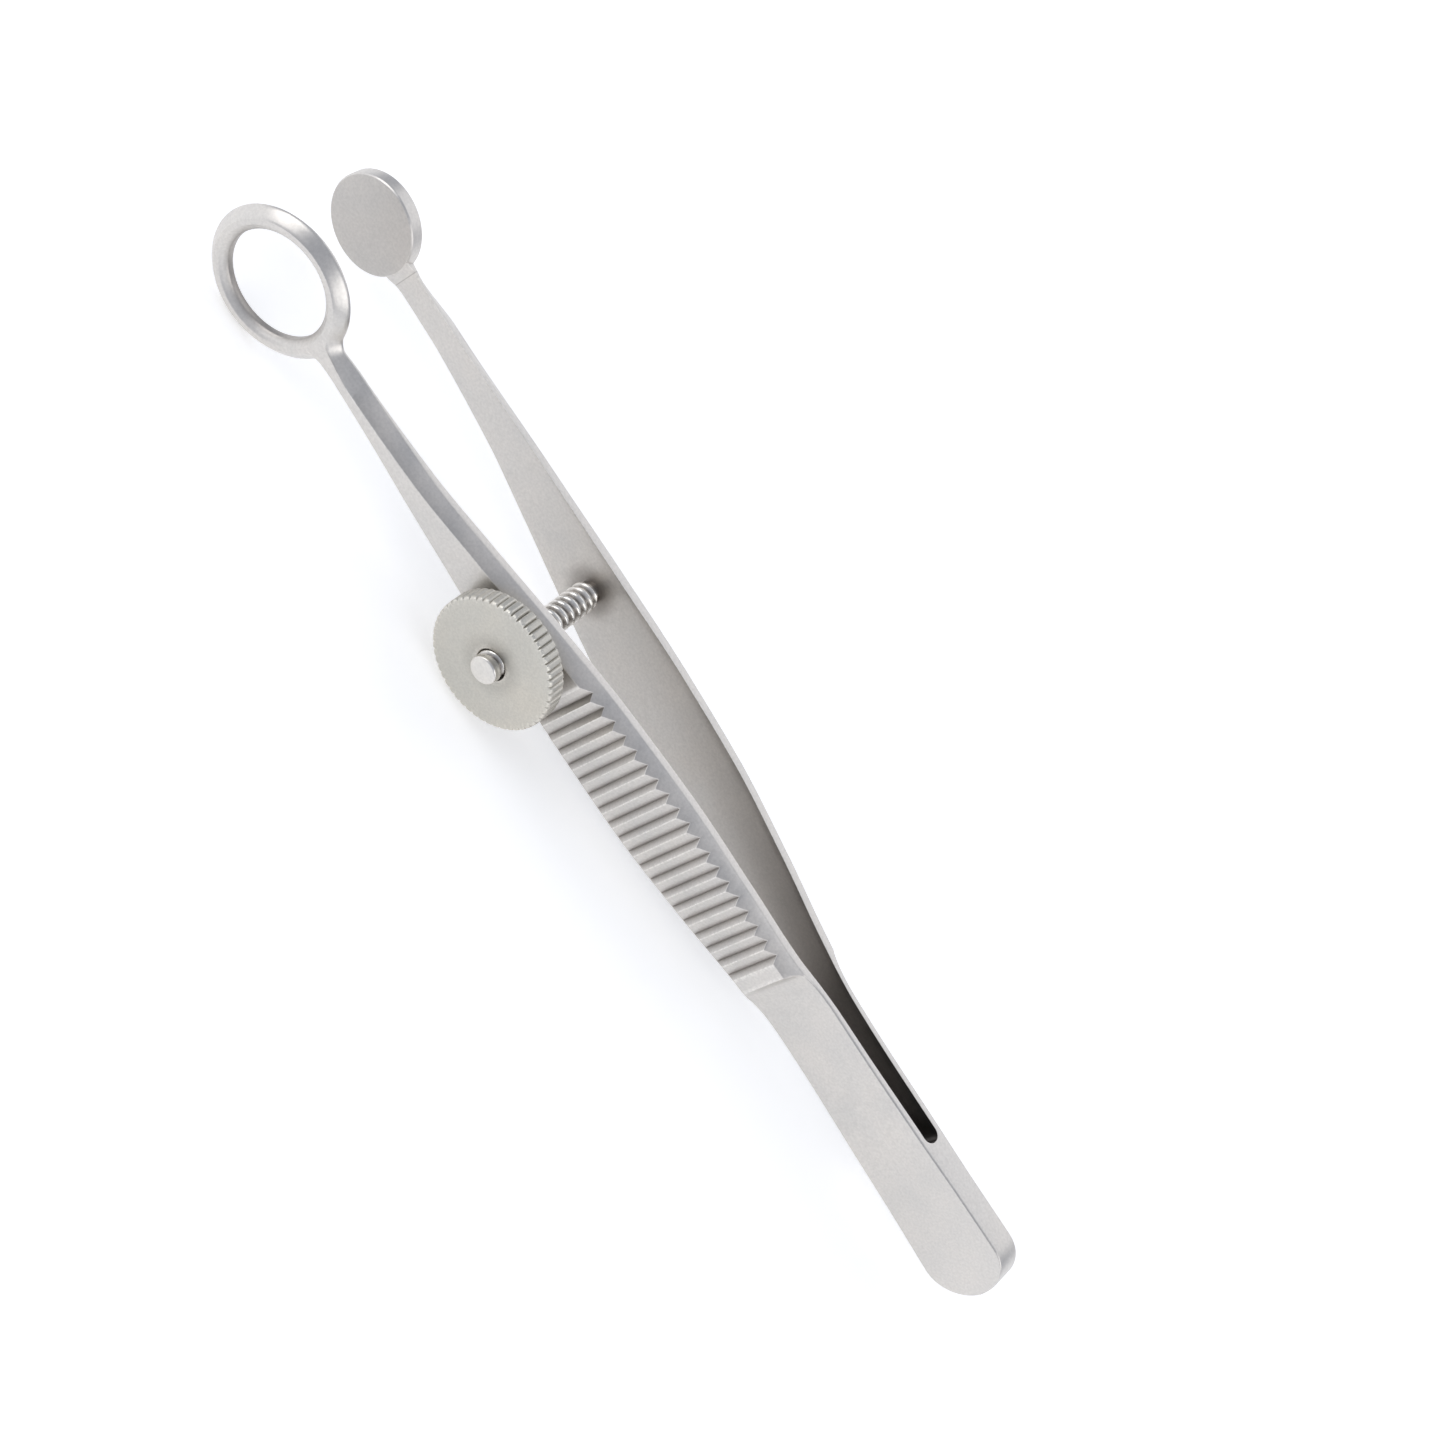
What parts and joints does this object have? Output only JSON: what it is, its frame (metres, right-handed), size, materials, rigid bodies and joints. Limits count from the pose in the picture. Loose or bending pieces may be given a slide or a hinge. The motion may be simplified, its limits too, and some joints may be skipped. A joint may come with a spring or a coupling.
{
  "type": "ring-and-plate eyelid clamp forceps",
  "caption": "Steel clamp forceps: two sprung arms joined at the butt, a ring jaw facing a round plate jaw, and a knurled thumb nut on a threaded stud that draws them together.",
  "frame": {"origin": "bottom centre of the bounding box, with the jaws open and the instrument lying on its side", "axes": "+X from the jaws to the butt, +Y from the ring arm to the plate arm, +Z across the width of the blades"},
  "size_m": [0.0902, 0.0148, 0.0113],
  "materials": {
    "satin_steel": "satin, fine bead-blasted",
    "turned_steel": "satin, turned",
    "bright_steel": "bright, cut thread"
  },
  "bodies": {
    "butt": {"ring_arm_butt": "satin_steel", "plate_arm_butt": "satin_steel", "butt_weld": "satin_steel"},
    "ring_arm": {"ring_arm": "satin_steel"},
    "plate_arm": {"plate_arm": "satin_steel", "stud": "bright_steel"},
    "nut_carriage": {"thumb_nut_boss": "turned_steel"},
    "thumb_nut": {"thumb_nut": "turned_steel"}
  },
  "joints": [
    {"name": "ring_arm_flex", "type": "hinge", "parent": "butt", "child": "ring_arm", "pos_m": [0.02706, 0.00047, 0.00565], "axis": [0, 0, -1], "range_deg": [0, 4.11]},
    {"name": "plate_arm_flex", "type": "hinge", "parent": "butt", "child": "plate_arm", "pos_m": [0.02706, 0.00245, 0.00565], "axis": [0, 0, 1], "range_deg": [0, 4.11]},
    {"name": "nut_travel", "type": "slide", "parent": "plate_arm", "child": "nut_carriage", "axis": [0, 1, 0], "range_m": [0, 0.00543], "stiffness_N_per_m": 243.6},
    {"name": "nut_turn", "type": "hinge", "parent": "nut_carriage", "child": "thumb_nut", "pos_m": [-0.01064, -0.00562, 0.00565], "axis": [0, 1, 0], "range_deg": [0, 2795.58]}
  ],
  "couplings": [
    {"joint": "nut_turn", "follows": "nut_travel", "rad_per_m": 8976},
    {"joint": "ring_arm_flex", "follows": "nut_travel", "rad_per_m": 13.192},
    {"joint": "plate_arm_flex", "follows": "nut_travel", "rad_per_m": 13.192}
  ]
}
